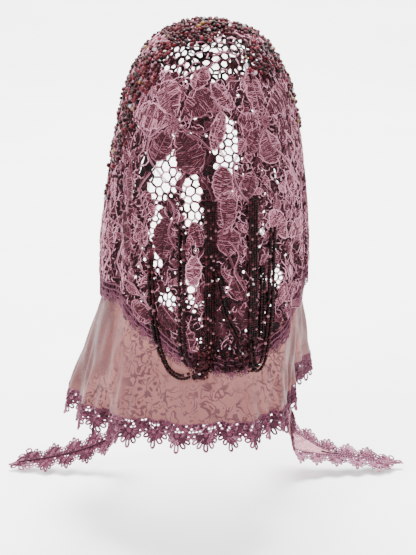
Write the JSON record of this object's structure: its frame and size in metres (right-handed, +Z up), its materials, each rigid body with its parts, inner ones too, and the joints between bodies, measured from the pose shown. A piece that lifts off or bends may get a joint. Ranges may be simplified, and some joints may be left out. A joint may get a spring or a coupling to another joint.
{
  "type": "lace head covering",
  "caption": "Drooping pierced lace cap with a beaded crown, scalloped border, sheer veil with fan trim, hanging bead strings and two ties",
  "frame": {"origin": "the inner top of the crown, where it sits on the head", "axes": "+Z up, +Y the way the wearer faces, +X the wearer's right seen from behind"},
  "size_m": [0.4039, 0.2175, 0.4721],
  "materials": {
    "lace": "mauve-pink guipure lace with a soft thread sheen",
    "tulle": "sheer dusty-rose tulle",
    "trim": "mauve corded lace trim",
    "seed_beads": "near-black garnet glass, glossy",
    "crown_beads": "garnet glass, glossy",
    "amber_beads": "amber glass, glossy",
    "crystals": "clear faceted glass"
  },
  "bodies": {
    "root": {"lace_cap": "lace", "lace_border": "lace", "tulle_veil": "tulle", "veil_trim": "trim", "tie_left": "tulle", "tie_left_trim": "trim", "tie_right": "tulle", "tie_right_trim": "trim", "crown_bead_field": "crown_beads", "bead_loop_left_outer": "seed_beads", "bead_loop_left_inner": "seed_beads", "bead_loop_middle": "seed_beads", "bead_loop_right_outer": "seed_beads", "bead_loop_right_inner": "seed_beads", "bead_bundle_centre": "seed_beads", "bead_bundle_right": "seed_beads", "hem_bead_cluster": "seed_beads"}
  },
  "joints": []
}
